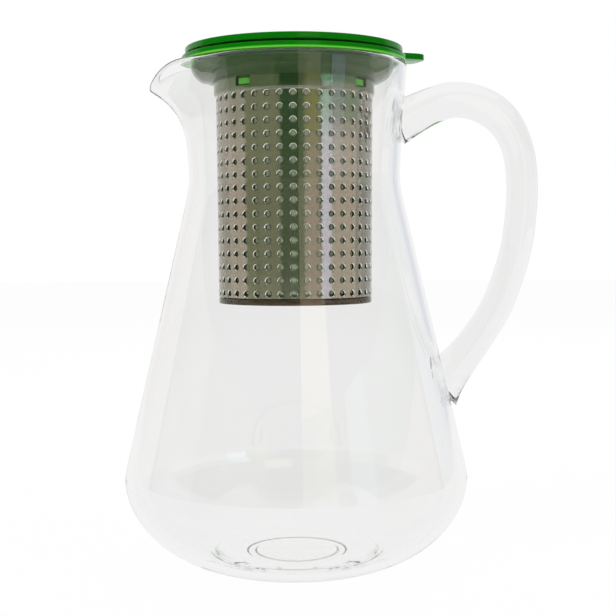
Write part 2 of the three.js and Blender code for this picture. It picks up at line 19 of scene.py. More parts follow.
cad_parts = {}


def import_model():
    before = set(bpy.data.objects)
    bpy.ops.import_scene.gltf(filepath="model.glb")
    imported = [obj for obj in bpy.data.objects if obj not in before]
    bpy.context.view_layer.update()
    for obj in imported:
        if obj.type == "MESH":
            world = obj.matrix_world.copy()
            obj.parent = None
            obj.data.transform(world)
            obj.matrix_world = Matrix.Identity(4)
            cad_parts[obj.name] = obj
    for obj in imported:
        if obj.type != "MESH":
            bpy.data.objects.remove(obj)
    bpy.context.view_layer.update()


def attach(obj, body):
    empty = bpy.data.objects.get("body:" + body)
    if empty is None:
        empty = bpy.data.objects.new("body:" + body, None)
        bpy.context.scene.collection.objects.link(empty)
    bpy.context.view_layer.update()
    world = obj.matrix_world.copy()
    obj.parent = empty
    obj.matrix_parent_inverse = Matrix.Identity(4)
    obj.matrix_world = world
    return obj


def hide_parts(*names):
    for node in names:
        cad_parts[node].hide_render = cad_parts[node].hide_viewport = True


MM = 0.001  # metres in a millimetre
GRAIN = 0.0001  # how deep fine bumps are, in metres
MERGE = 2e-7  # points nearer than this are one point, in metres
SPARE = 1.0  # how far a cutting or joined solid reaches past the other, in millimetres
KEY_AZIMUTHS = (90.0, 270.0)  # where the disc's keys and the sleeve's keyways are
LOG = logging.getLogger("iced_tea_maker")

Colour = tuple[float, float, float]
Numbers = float | np.ndarray
Piece = bpy.types.Object


# Shader maths


class Value:
    """A shader socket that takes part in Python arithmetic; each operation adds a Math node."""

    def __init__(self, shader: "Shader", socket: bpy.types.NodeSocket) -> None:
        """Keeps the shader that the socket belongs to, and the socket."""
        self.shader = shader
        self.socket = socket

    def __add__(self, other: Any) -> "Value":
        """self + other."""
        return self.shader.maths("ADD", self, other)

    def __sub__(self, other: Any) -> "Value":
        """self - other."""
        return self.shader.maths("SUBTRACT", self, other)

    def __rsub__(self, other: Any) -> "Value":
        """other - self."""
        return self.shader.maths("SUBTRACT", other, self)

    def __mul__(self, other: Any) -> "Value":
        """self * other."""
        return self.shader.maths("MULTIPLY", self, other)

    __radd__ = __add__
    __rmul__ = __mul__


class Shader:
    """The node tree of a material or a world, built from Python expressions."""

    def __init__(self, owner: bpy.types.Material | bpy.types.World) -> None:
        """Empties the node tree of a new material or world."""
        self.owner = owner
        owner.use_nodes = True
        self.tree = owner.node_tree
        self.tree.nodes.clear()

    def node(self, kind: str, settings: dict[str, Any] | None = None,
             **sockets: Any) -> bpy.types.Node:
        """Adds a node.

        Args:
            kind: The node's type, such as "ShaderNodeTexNoise".
            settings: Properties of the node, set before its sockets.
            sockets: Values or links of its inputs. A name's underscores are spaces, "_2"
                picks the input of that number, and a colour is three numbers.

        Returns:
            The new node.
        """
        made = self.tree.nodes.new(kind)
        for key, setting in (settings or {}).items():
            setattr(made, key, setting)
        for key, given in sockets.items():
            socket = (made.inputs[int(key[1:])] if key[1:].isdigit()
                      else made.inputs[key.replace("_", " ")])
            if isinstance(given, Value):
                self.tree.links.new(given.socket, socket)
            else:
                socket.default_value = (*given, 1.0) if socket.type == "RGBA" else given
        return made

    def value(self, kind: str, output: str | int = 0, settings: dict[str, Any] | None = None,
              **sockets: Any) -> Value:
        """Adds a node and returns one of its outputs as a Value."""
        return Value(self, self.node(kind, settings, **sockets).outputs[output])

    def maths(self, operation: str, *values: Any) -> Value:
        """Adds a Math node for that operation on values or Values."""
        sockets = {f"_{i}": value for i, value in enumerate(values)}
        return self.value("ShaderNodeMath", 0, {"operation": operation}, **sockets)

    def coordinates(self) -> Value:
        """The surface point's Object coordinates, in metres."""
        return self.value("ShaderNodeTexCoord", "Object")

    def place(self) -> list[Value]:
        """The surface point's Object coordinates as three Values."""
        split = self.node("ShaderNodeSeparateXYZ", Vector=self.coordinates())
        return [Value(self, axis) for axis in split.outputs]

    def from_axis(self, x: Value, y: Value) -> Value:
        """The distance from the Z axis: the root of x^2 + y^2."""
        return self.maths("SQRT", x * x + y * y)

    def noise(self, scale: float, detail: float = 2.0, stretch: tuple = (1, 1, 1)) -> Value:
        """A noise over the piece, from 0 to 1.

        Args:
            scale: Spots per metre.
            detail: Octaves.
            stretch: How much finer it runs along each axis.

        Returns:
            The noise's value.
        """
        stretched = self.value("ShaderNodeMapping", Vector=self.coordinates(), Scale=stretch)
        return self.value("ShaderNodeTexNoise", "Fac", Vector=stretched, Scale=scale,
                          Detail=detail)

    def fade(self, value: Value, low: float, high: float) -> Value:
        """0 below low, 1 above high, and smooth between."""
        return self.value("ShaderNodeMapRange", 0, {"interpolation_type": "SMOOTHSTEP"},
                          Value=value, From_Min=low, From_Max=high)

    def blend(self, share: Any, low: Any, high: Any) -> Value:
        """A colour between low and high, by share."""
        return self.value("ShaderNodeMix", 2, {"data_type": "RGBA"}, _0=share, _6=low, _7=high)

    def mixed(self, share: Value, low: Value, high: Value) -> Value:
        """A shader between low and high, by share."""
        return self.value("ShaderNodeMixShader", _0=share, _1=low, _2=high)

    def ray(self, question: str) -> Value:
        """What the Light Path node says of the ray, such as "Is Shadow Ray"."""
        return self.value("ShaderNodeLightPath", question)

    def clear(self) -> Value:
        """A Transparent BSDF's output."""
        return self.value("ShaderNodeBsdfTransparent")

    def glow(self, colour: Colour, strength: Any = 1.0) -> Value:
        """An Emission's output."""
        return self.value("ShaderNodeEmission", Color=colour, Strength=strength)

    def bump(self, height: Value, strength: float, distance: float = GRAIN) -> Value:
        """A normal pushed about by height, over distance in metres."""
        return self.value("ShaderNodeBump", "Normal", Strength=strength,
                          Distance=distance, Height=height)

    def surface(self, shade: Value) -> Any:
        """Ends the tree with that shader, and returns its material or world."""
        world = isinstance(self.owner, bpy.types.World)
        self.node("ShaderNodeOutputWorld" if world else "ShaderNodeOutputMaterial", Surface=shade)
        return self.owner

    def principled(self, **sockets: Any) -> Value:
        """A Principled BSDF's output."""
        return self.value("ShaderNodeBsdfPrincipled", **sockets)


# Finishes


def tinted(colour: Colour, share: float) -> Colour:
    """The colour times share."""
    return tuple(share * part for part in colour)


@dataclass(frozen=True)
class Finish:
    """The look of a piece's surface."""

    name: str

    def shade(self, shader: Shader) -> Value:
        """Builds the look's nodes.

        Args:
            shader: The shader that gets them.

        Returns:
            Their shader output.
        """
        raise NotImplementedError

    def material(self) -> bpy.types.Material:
        """Builds the material."""
        shader = Shader(bpy.data.materials.new(self.name))
        return shader.surface(self.shade(shader))


@dataclass(frozen=True)
class ClearGlass(Finish):
    """Polished drawn glass that lets lamp light straight through."""

    name: str = "clear_glass"
    colour: Colour = (0.985, 0.986, 0.984)
    index: float = 1.47
    wave_scale: float = 26.0
    wave_height: float = 0.00012

    def shade(self, shader: Shader) -> Value:
        """Glass with faint waves, which a shadow ray finds clear."""
        waves = shader.bump(shader.noise(self.wave_scale, detail=1.0), strength=0.35,
                            distance=self.wave_height)
        glass = shader.principled(Base_Color=self.colour, Roughness=0.0, IOR=self.index,
                                  Transmission_Weight=1.0, Normal=waves)
        return shader.mixed(shader.ray("Is Shadow Ray"), glass, shader.clear())


@dataclass(frozen=True)
class GreenPlastic(Finish):
    """Glossy green plastic, with a painted highlight in its colour along its outer lower edge."""

    colour: Colour = (0.001, 0.15, 0.001)
    # glow is the colour of the painted highlight along the outer lower edge, set in Base Color.
    glow: Colour = (0.13, 0.62, 0.05)
    painted_highlight_low: float = 0.2149
    painted_highlight_high: float = 0.2158
    painted_highlight_radius: float = 0.0325
    painted_highlight_edge: float = 0.0002
    gloss: float = 0.16

    def shade(self, shader: Shader) -> Value:
        """Clouded green, which turns to the painted highlight's colour below its height and past
        its radius.
        """
        x, y, height = shader.place()
        radius = shader.from_axis(x, y)
        # edge masks the painted highlight: past the highlight radius and below its height.
        edge = (shader.fade(radius, self.painted_highlight_radius, self.painted_highlight_radius + self.painted_highlight_edge)
                * (1.0 - shader.fade(height, self.painted_highlight_low, self.painted_highlight_high)))
        cloud = shader.noise(scale=60.0, detail=3.0)
        base = shader.blend(cloud * 0.35, self.colour, tinted(self.colour, 1.6))
        roughness = 0.1 + shader.noise(scale=140.0) * 0.08
        return shader.principled(
            Base_Color=shader.blend(edge, base, self.glow), Roughness=roughness, IOR=1.5,
            Specular_IOR_Level=self.gloss,
            Normal=shader.bump(shader.noise(scale=900.0), strength=0.05))


@dataclass(frozen=True)
class PaleSilicone(Finish):
    """Thin green-grey silicone that shows what is behind it, a little dimmed."""

    name: str = "pale_silicone"
    colour: Colour = (0.045, 0.1, 0.03)
    alpha: float = 0.4

    def shade(self, shader: Shader) -> Value:
        """Grey-green, denser where it is clouded."""
        cloud = shader.noise(scale=90.0, detail=3.0)
        return shader.principled(
            Base_Color=shader.blend(cloud, tinted(self.colour, 0.85), tinted(self.colour, 1.15)),
            Roughness=0.22 + cloud * 0.1, IOR=1.4, Specular_IOR_Level=0.3,
            Alpha=self.alpha + (cloud - 0.5) * 0.12, Normal=shader.bump(cloud, strength=0.1))


@dataclass(frozen=True)
class SmokePlastic(Finish):
    """Smoke-tinted moulded plastic with a mirror gloss, which shows what stands before it.

    A holed wall's outer face is a cone, given by its lower height and radius and its upper
    height and radius. Its bores get a painted highlight at the edge and painted shade deeper in.
    """

    colour: Colour = (0.325, 0.303, 0.245)
    mirror: float = 0.96
    roughness: float = 0.08
    cone: tuple[float, float, float, float] | None = None
    # The edge colour is a painted highlight on the countersink, and the hollow colour painted
    # shade in the bore.
    edge: Colour = (0.85, 0.86, 0.78)
    painted_bore_shade: Colour = (0.02, 0.018, 0.014)
    collar: Colour = (0.15, 0.19, 0.115)
    depths: tuple = ((0.00004, 0.0001), (0.00025, 0.0004), (0.0011, 0.0014))
    step_blur: float = 0.0002
    collar_blur: float = 0.0012

    def bored(self, shader: Shader, base: Value) -> Value:
        """Colours the bores in a holed wall by how far they are inside its outer face.

        Args:
            shader: The material's shader.
            base: The wall's own colour.

        Returns:
            The colour: a painted highlight at the edge, then painted shade in the bore, then the
            wall's inner face, and the collar's tint above them.
        """
        low, low_radius, high, high_radius = self.cone
        x, y, z = shader.place()
        slope = (high_radius - low_radius) / (high - low)
        depth = (z - low) * slope + low_radius - shader.from_axis(x, y)
        depth = depth * (1.0 - shader.fade(z, high, high + self.step_blur))
        # Painted highlight at the countersink, painted shade down the bore, then the wall's own
        # colour.
        for (near, far), colour in zip(self.depths, (self.edge, self.painted_bore_shade, self.colour)):
            base = shader.blend(shader.fade(depth, near, far), base, colour)
        return shader.blend(shader.fade(z, high, high + self.collar_blur), base, self.collar)

    def shade(self, shader: Shader) -> Value:
        """A smoky mirror with upright flow lines, and painted highlight and shade in the bores
        where it has a cone.
        """
        flow = shader.noise(scale=220.0, detail=3.0, stretch=(1.0, 1.0, 0.06))
        base = shader.blend(flow, tinted(self.colour, 0.88), tinted(self.colour, 1.12))
        if self.cone:
            base = self.bored(shader, base)
        return shader.principled(
            Base_Color=base, Metallic=self.mirror, Roughness=self.roughness + flow * 0.06,
            IOR=1.57, Normal=shader.bump(flow, strength=0.12))


@dataclass(frozen=True)
class AmberSmoke(Finish):
    """Dark smoke plastic, glossy, with painted amber glints in random patches."""

    name: str = "base_smoke"
    colour: Colour = (0.04, 0.026, 0.01)
    # glow is the colour of the painted amber glints, set in Base Color.
    glow: Colour = (0.22, 0.1, 0.02)

    def shade(self, shader: Shader) -> Value:
        """Dark plastic with random patches of painted amber glint."""
        # Masks the painted amber glints in random patches.
        patches = shader.fade(shader.noise(scale=45.0), low=0.52, high=0.78)
        return shader.principled(
            Base_Color=shader.blend(patches, self.colour, self.glow), IOR=1.5,
            Roughness=0.12 + patches * 0.06, Specular_IOR_Level=0.4,
            Normal=shader.bump(shader.noise(scale=300.0), strength=0.06))


@dataclass(frozen=True)
class WovenSteel(Finish):
    """Fine square-woven stainless wire, with a painted glow that stands in for daylight coming
    through it.
    """

    colour: Colour = (0.5, 0.5, 0.42)
    # glow is painted light: emission that stands in for daylight coming through the basket.
    glow: Colour = (0.15, 0.17, 0.12)
    pitch: float = 0.0005
    radius: float = 0.0293
    upright: bool = True

    def shade(self, shader: Shader) -> Value:
        """Wires at |sin| of half the way along and across, bright where either is high."""
        x, y, z = shader.place()
        turns = 2 * math.pi / self.pitch
        if self.upright:
            along = shader.maths("ARCTAN2", y, x) * (self.radius * turns)
            across = z * turns
        else:
            along, across = x * turns, y * turns
        warp = shader.maths("ABSOLUTE", shader.maths("SINE", along * 0.5))
        weft = shader.maths("ABSOLUTE", shader.maths("SINE", across * 0.5))
        wire = shader.maths("MAXIMUM", warp, weft)
        cloud = shader.noise(scale=55.0, detail=4.0)
        return shader.principled(
            Base_Color=shader.blend(wire, tinted(self.colour, 0.55), self.colour),
            Metallic=1.0, Roughness=0.16 + cloud * 0.1,
            # Painted glow: emission that brightens the wire, though it is no lamp.
            Emission_Color=shader.blend(wire, tinted(self.glow, 0.6), self.glow),
            Emission_Strength=1.0, Normal=shader.bump(warp * weft, strength=0.12))


# Surfaces


def unit(vectors: np.ndarray) -> np.ndarray:
    """The vectors along the last axis, each divided by its length."""
    return vectors / np.linalg.norm(vectors, axis=-1, keepdims=True)


def circle(count: int) -> np.ndarray:
    """The angles of count even steps round a circle: i 2 pi / count."""
    return np.arange(count) * (2 * np.pi / count)


def polar(radius: Numbers, angle: Numbers, height: Numbers) -> np.ndarray:
    """The points (r cos a, r sin a, h), in the shape that the three broadcast to."""
    return np.stack(np.broadcast_arrays(radius * np.cos(angle), radius * np.sin(angle),
                                        height), axis=-1)


def bend(start: Numbers, corner: Numbers, end: Numbers, share: Numbers) -> Numbers:
    """The quadratic curve from start to end that is pulled towards corner, at share."""
    return (1 - share) ** 2 * start + 2 * share * (1 - share) * corner + share ** 2 * end


def smooth_share(value: Numbers, low: float, high: float) -> Numbers:
    """0 below low, 1 above high, and 3t^2 - 2t^3 between them."""
    t = np.clip((value - low) / (high - low), 0.0, 1.0)
    return t * t * (3.0 - 2.0 * t)


def rounded(profile: Sequence[Sequence[float]], radius: float, steps: int = 4,
            looped: bool = True) -> np.ndarray:
    """Rounds a profile's corners: each becomes a quadratic curve between its two sides.

    Args:
        profile: Corners as (radius, height).
        radius: How far from each corner the curve starts, at most 0.45 of the side.
        steps: Faces round each corner.
        looped: Whether the last corner joins the first. Otherwise both ends stay sharp.

    Returns:
        The rounded profile, with steps + 1 points for each corner.
    """
    corners = np.asarray(profile, dtype=float)
    before = np.roll(corners, 1, axis=0) - corners
    after = np.roll(corners, -1, axis=0) - corners
    reach = [np.minimum(radius, 0.45 * np.linalg.norm(side, axis=1)) for side in (before, after)]
    if not looped:
        for share in reach:
            share[[0, -1]] = 0.0
    starts, ends = (
        corners + side * (share / np.maximum(np.linalg.norm(side, axis=1), 1e-9))[:, None]
        for side, share in zip((before, after), reach))
    t = np.linspace(0.0, 1.0, steps + 1)[None, :, None]
    return bend(starts[:, None], corners[:, None], ends[:, None], t).reshape(-1, 2)


def turned(profile: np.ndarray, columns: int) -> np.ndarray:
    """Turns a profile of (radius, height) about Z into a grid of points."""
    return polar(profile[:, :1], circle(columns), profile[:, 1:])


def grid_quads(rows: int, columns: int, round_rows: bool = False,
               round_columns: bool = True) -> np.ndarray:
    """Numbers the quads of a grid of points.

    Args:
        rows: The grid's rows.
        columns: The grid's columns, whose points are numbered along each row.
        round_rows: Whether the last row joins the first.
        round_columns: Whether the last column joins the first.

    Returns:
        The quads, four numbers each.
    """
    index = np.pad(np.arange(rows * columns).reshape(rows, columns),
                   ((0, int(round_rows)), (0, int(round_columns))), mode="wrap")
    return np.stack([index[:-1, :-1], index[:-1, 1:], index[1:, 1:], index[1:, :-1]],
                    axis=-1).reshape(-1, 4)


@dataclass
class Patchwork:
    """The patches of one closed piece: grids and loose quads of points, in millimetres."""

    points: list[np.ndarray] = field(default_factory=list)
    quads: list[np.ndarray] = field(default_factory=list)
    count: int = 0

    def add(self, points: np.ndarray, quads: np.ndarray) -> "Patchwork":
        """Adds one patch.

        Args:
            points: Its points.
            quads: Its quads, which number the points from 0.

        Returns:
            The patchwork itself.
        """
        self.points.append(points.reshape(-1, 3))
        self.quads.append(quads.reshape(-1, 4) + self.count)
        self.count += len(self.points[-1])
        return self

    def add_grid(self, grid: np.ndarray, **joins: bool) -> "Patchwork":
        """Adds a grid of shape (rows, columns, 3), joined as grid_quads says."""
        return self.add(grid, grid_quads(*grid.shape[:2], **joins))

    def turn(self, azimuth: float) -> "Patchwork":
        """Turns the whole patchwork about the Z axis.

        Args:
            azimuth: The turn in degrees.

        Returns:
            The patchwork itself.
        """
        turn = np.array(Matrix.Rotation(math.radians(azimuth), 3, "Z"))
        self.points = [points @ turn.T for points in self.points]
        return self

    def piece(self, name: str, sharp: float = 32.0) -> Piece:
        """Makes the piece: seams merged, faces pointing out, edges sharper than sharp kept.

        Args:
            name: The piece's name.
            sharp: The angle in degrees past which an edge is shaded sharp.

        Returns:
            The new object, at the origin.
        """
        mesh = bpy.data.meshes.new(name)
        mesh.from_pydata((np.concatenate(self.points) * MM).tolist(), [],
                         np.concatenate(self.quads).tolist())
        shape = bmesh.new()
        shape.from_mesh(mesh)
        bmesh.ops.remove_doubles(shape, verts=shape.verts, dist=MERGE)
        bmesh.ops.recalc_face_normals(shape, faces=shape.faces)
        shape.to_mesh(mesh)
        shape.free()
        return placed(name, mesh, sharp)


def placed(name: str, mesh: bpy.types.Mesh, sharp: float) -> Piece:
    """Puts a mesh into the scene, with smooth shading.

    Args:
        name: The piece's name.
        mesh: Its mesh.
        sharp: The angle in degrees past which an edge is shaded sharp.

    Returns:
        The new object, at the origin.
    """
    mesh.shade_smooth()
    mesh.set_sharp_from_angle(angle=math.radians(sharp))
    made = bpy.data.objects.new(name, mesh)
    bpy.context.scene.collection.objects.link(made)
    return made


def solid_of_turning(name: str, profile: np.ndarray, columns: int = 144,
                     looped: bool = True) -> Piece:
    """A closed turned piece; looped says that its profile stays clear of the axis."""
    return Patchwork().add_grid(turned(profile, columns), round_rows=looped).piece(name)


def plate(radii: Sequence[float], width: float, corner: float, steps: int = 3) -> np.ndarray:
    """The outline of a plate from one radius to another, with its corners rounded."""
    (near, far), half = radii, width / 2
    return rounded([(near, -half), (far, -half), (far, half), (near, half)], corner, steps)


def prism(outline: np.ndarray, layers: Sequence[tuple[float, float]]) -> Patchwork:
    """A closed prism over an outline, whose ends fan in to its middle.

    Args:
        outline: Its points as (x, y).
        layers: How far inside the outline each layer lies, and its height, from below.

    Returns:
        The prism, whose points are p + inset (middle - p) / |middle - p|.
    """
    middle = outline.mean(axis=0) + 0.0 * outline
    rings = [(middle, layers[0][1])]
    rings += [(outline + inset * unit(middle - outline), height) for inset, height in layers]
    rings += [(middle, layers[-1][1])]
    return Patchwork().add_grid(np.stack([
        np.column_stack([ring, np.full(len(ring), height)]) for ring, height in rings]))


def blocks(name: str, radii: Sequence[float], width: float, heights: Sequence[float],
           azimuths: Sequence[float], corner: float = 0.0) -> list[Piece]:
    """Equal boxes round the Z axis, with their upright edges rounded.

    Args:
        name: The boxes' name.
        radii: Where a box begins and ends, outwards from the axis.
        width: Its width across that way.
        heights: Its lower and upper height.
        azimuths: The way of each box in degrees.
        corner: The radius of the upright edges.

    Returns:
        One closed piece for each azimuth.
    """
    layers = [(0.0, height) for height in heights]
    return [prism(plate(radii, width, corner), layers).turn(azimuth).piece(name)
            for azimuth in azimuths]


class Cut(Enum):
    """What one solid does to another."""

    JOIN = "UNION"
    REMOVE = "DIFFERENCE"


def combined(base: Piece, tools: Sequence[Piece], cut: Cut, sharp: float = 32.0) -> Piece:
    """Joins solids to a base or removes them from it, and deletes them.

    Args:
        base: The solid that is changed, which keeps its name.
        tools: The solids that change it.
        cut: Whether they are joined or removed.
        sharp: The angle in degrees past which an edge is shaded sharp.

    Returns:
        The changed solid.
    """
    for tool in tools:
        step = base.modifiers.new("shape", "BOOLEAN")
        step.operation, step.solver, step.object = cut.value, "MANIFOLD", tool
    graph = bpy.context.evaluated_depsgraph_get()
    mesh = bpy.data.meshes.new_from_object(base.evaluated_get(graph))
    base.modifiers.clear()
    name = base.name
    for old in (base, *tools):
        bpy.data.objects.remove(old)
    return placed(name, mesh, sharp)


def dress(piece: Piece, finish: Finish, body: str, slot: str, *nodes: str) -> None:
    """Gives a piece its finish, sets it on its body and lets it stand for its nodes.

    Args:
        piece: The piece.
        finish: The finish whose material it gets.
        body: The body that it rides on.
        slot: The record's material slot; not used.
        nodes: The nodes that it replaces.
    """
    piece.data.materials.clear()
    piece.data.materials.append(finish.material())
    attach(piece, body)
    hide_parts(*nodes)
    LOG.info("%s: %d faces on %s", piece.name, len(piece.data.polygons), body)


# Jug


@dataclass
class Jug:
    """The blown glass jug with its drawn handle.

    The floor's shares are of its radius and of the ring groove's depth, and the spine's
    shares of the way from neck to handle_reach and from spine_foot to handle_top.
    """

    foot_radius: float = 26.0
    belly_radius: float = 73.46
    belly_height: float = 39.0
    belly_corner: float = 40.6
    belly_bend: float = 10.0
    base_roundness: float = 1.9
    neck_radius: float = 44.9
    neck_height: float = 167.5
    neck_corner: float = 162.8
    neck_bend: float = 9.0
    rim_radius: float = 48.0
    rim_height: float = 214.4
    flare_bulge: float = 0.9
    wall: float = 3.0
    floor: float = 4.8
    pad_radius: float = 17.6
    foot_land: float = 4.0
    foot_groove: float = 0.8
    foot_edge: float = 0.4
    foot_softness: float = 0.5
    ring_groove: float = 0.35
    floor_shares: tuple = (
        (0.985, 0), (0.965, 0), (0.95, 1), (0.93, 1), (0.915, 0), (0.85, 0), (0.6, 0),
        (0.3, 0), (0, 0))
    lip_reach: float = 12.9
    lip_droop: float = 9.93
    lip_half_angle: float = 39.3
    lip_curl: float = 4.24
    lip_fall: float = 2.59
    columns: int = 240
    sharp: float = 40.0
    handle_top: float = 199.3
    handle_reach: float = 97.57
    handle_thickness: float = 13.3
    handle_width: float = 17.0
    handle_sides: int = 32
    spine_steps: int = 8
    root_power: int = 8
    root_growth: float = 1.3
    foot_growth: float = 1.75
    top_growth: float = 1.13
    top_fade: tuple[float, float] = (0.24, 0.36)
    upper_root: float = 189.5
    lower_root: float = 77.5
    spine_foot: float = 79.5
    foot_reach: tuple[float, float] = (1.4, 1.6)
    spine_shares: tuple = (
        (0.266, 0.981), (0.41, 1), (0.556, 0.997), (0.7, 0.975), (0.824, 0.936),
        (0.917, 0.877), (0.973, 0.808), (1, 0.69), (0.985, 0.574), (0.947, 0.463),
        (0.875, 0.355), (0.786, 0.257), (0.666, 0.171), (0.552, 0.102))

    def lower_outline(self) -> np.ndarray:
        """The outside from foot to neck as (radius, height).

        Returns:
            A superellipse quarter r = foot + (belly - foot) sin^(2/n), h = belly height
            (1 - cos^(2/n)), then a quadratic bend into the straight flank, and another
            into the neck.
        """
        angle = np.linspace(0.0, np.pi / 2, 41)
        power = 2 / self.base_roundness
        bowl = np.column_stack([
            self.foot_radius
            + (self.belly_radius - self.foot_radius) * np.sin(angle) ** power,
            self.belly_height * (1 - np.abs(np.cos(angle)) ** power)])
        slope = ((self.belly_radius - self.neck_radius)
                 / (self.neck_corner - self.belly_corner))

        def flank(height: float) -> np.ndarray:
            """The flank's point at a height."""
            return np.array([self.belly_radius - slope * (height - self.belly_corner), height])

        t = np.linspace(0.0, 1.0, 10)[:, None]
        foot, top = (flank(self.belly_corner + self.belly_bend),
                     flank(self.neck_corner - self.neck_bend))
        belly = bend(np.array([self.belly_radius, self.belly_height]),
                     np.array([self.belly_radius, self.belly_corner]), foot, t[1:])
        straight = foot + (top - foot) * np.linspace(0.0, 1.0, 13)[1:-1, None]
        neck = bend(top, np.array([self.neck_radius, self.neck_corner]),
                    np.array([self.neck_radius, self.neck_height]), t)
        return np.concatenate([bowl, belly, straight, neck])

    def neck_radius_at(self, height: Numbers) -> Numbers:
        """The neck's outer radius away from the lip: a quadratic flare towards the rim."""
        share = (height - self.neck_height) / (self.rim_height - self.neck_height)
        return bend(self.neck_radius, self.neck_radius + self.flare_bulge, self.rim_radius, share)

    def neck_points(self, azimuth: np.ndarray, share: np.ndarray) -> np.ndarray:
        """The neck's outer face.

        Args:
            azimuth: Angles in radians.
            share: 0 at the neck and 1 at the rim's edge.

        Returns:
            Points at r = flare + reach w s^curl and h = neck + s (edge - droop w^fall -
            neck), where w is cos^2 over the lip's half angle, and 0 beside it.
        """
        off = np.minimum(np.abs(azimuth - np.pi) / math.radians(self.lip_half_angle), 1.0)
        lip = np.cos(off * np.pi / 2) ** 2
        edge = self.rim_height - self.wall / 2
        radius = (self.neck_radius_at(self.neck_height + share * (edge - self.neck_height))
                  + self.lip_reach * lip * share ** self.lip_curl)
        height = self.neck_height + share * (edge - self.lip_droop * lip ** self.lip_fall
                                             - self.neck_height)
        return polar(radius, azimuth, height)

    def neck_frame(self, azimuth: np.ndarray, share: np.ndarray) -> tuple:
        """The directions of the neck's outer face.

        Args:
            azimuth: As for neck_points.
            share: As for neck_points.

        Returns:
            The unit tangent up the face and its outward normal, from small differences.
        """
        step = 1e-4
        up = unit(self.neck_points(azimuth, share + step)
                  - self.neck_points(azimuth, share - step))
        along = (self.neck_points(azimuth + step, share)
                 - self.neck_points(azimuth - step, share))
        return up, unit(np.cross(along, up))

    def inner_outline(self) -> np.ndarray:
        """The inside below the neck, from the corner where it meets the flat floor.

        Returns:
            The outside moved in along its normal by the wall, above the floor, as
            (radius, height).
        """
        outline = self.lower_outline()
        along = unit(np.gradient(outline, axis=0))
        inside = outline + np.column_stack([-along[:, 1], along[:, 0]]) * self.wall
        corner = np.interp(self.floor, inside[:, 1], inside[:, 0])
        return np.concatenate([[[corner, self.floor]], inside[inside[:, 1] > self.floor]])

    def body(self) -> Piece:
        """The glass without its handle, as one skin.

        Returns:
            The underside, the outside, a half-round rim at edge + wall / 2 (cos a out +
            sin a up), and the inside, closed at the axis.
        """
        azimuth = circle(self.columns)[None, :]
        under = rounded([
            (0.0, 0.0), (self.pad_radius, 0.0),
            (self.pad_radius + self.foot_groove, self.foot_groove),
            (self.foot_radius - self.foot_land - self.foot_groove, self.foot_groove),
            (self.foot_radius - self.foot_land, 0.0),
            (self.foot_radius - self.foot_edge, 0.0)], self.foot_softness, 3, looped=False)
        inner = self.inner_outline()[::-1]
        floor = np.array([inner[-1, 0], -self.ring_groove]) * self.floor_shares
        floor[:, 1] += self.floor
        share = np.linspace(0.0, 1.0, 41)[1:, None]
        half_turn = np.linspace(0.0, np.pi, 9)[1:-1, None, None]
        up, out = self.neck_frame(azimuth, np.ones((1, 1)))
        edge = self.neck_points(azimuth, np.ones((1, 1)))
        rim = (edge - out * self.wall / 2
               + (self.wall / 2) * (np.cos(half_turn) * out + np.sin(half_turn) * up))
        neck_outside = self.neck_points(azimuth, share)
        neck_inside = neck_outside - self.neck_frame(azimuth, share)[1] * self.wall
        return Patchwork().add_grid(np.concatenate([
            turned(np.concatenate([under, self.lower_outline()]), self.columns),
            neck_outside, rim, neck_inside[::-1],
            turned(np.concatenate([inner, floor]), self.columns)])).piece(
                "jug_glass", self.sharp)

    def outer_radius_at(self, height: float) -> float:
        """The jug's outer radius away from lip and handle.

        Args:
            height: Any height from foot to rim.

        Returns:
            The neck's formula, or else a straight line between the outline's points.
        """
        if height >= self.neck_height:
            return self.neck_radius_at(height)
        radius, heights = self.lower_outline().T
        return float(np.interp(height, heights, radius))

    def spine(self, steps: int) -> np.ndarray:
        """The handle's centre line as (x, z): a centripetal Catmull-Rom curve.

        Args:
            steps: Points between two of its control points.

        Returns:
            Points along the curve, from the upper root to the lower.
        """
        shares = np.array(self.spine_shares)
        middle = np.column_stack([
            self.neck_radius + (self.handle_reach - self.neck_radius) * shares[:, 0],
            self.spine_foot + (self.handle_top - self.spine_foot) * shares[:, 1]])
        upper, lower = ([self.outer_radius_at(height) - self.wall, height]
                        for height in (self.upper_root, self.lower_root))
        knots = np.vstack([upper, middle, np.subtract(lower, self.foot_reach)])
        knots = np.vstack([2 * knots[0] - knots[1], knots, 2 * knots[-1] - knots[-2]])
        gaps = np.linalg.norm(np.diff(knots, axis=0), axis=1)[:, None] ** 0.5
        p0, p1, p2, p3 = knots[:-3], knots[1:-2], knots[2:-1], knots[3:]
        d0, d1, d2 = gaps[:-2], gaps[1:-1], gaps[2:]
        m1 = d1 * ((p1 - p0) / d0 - (p2 - p0) / (d0 + d1) + (p2 - p1) / d1)
        m2 = d1 * ((p2 - p1) / d1 - (p3 - p1) / (d1 + d2) + (p3 - p2) / d2)
        t = np.linspace(0.0, 1.0, steps, endpoint=False)[None, :, None]
        p1, p2, m1, m2 = (part[:, None] for part in (p1, p2, m1, m2))
        curve = (p1 + m1 * t + (3 * (p2 - p1) - 2 * m1 - m2) * t ** 2
                 + (2 * (p1 - p2) + m1 + m2) * t ** 3)
        return np.concatenate([curve.reshape(-1, 2), knots[-2:-1]])

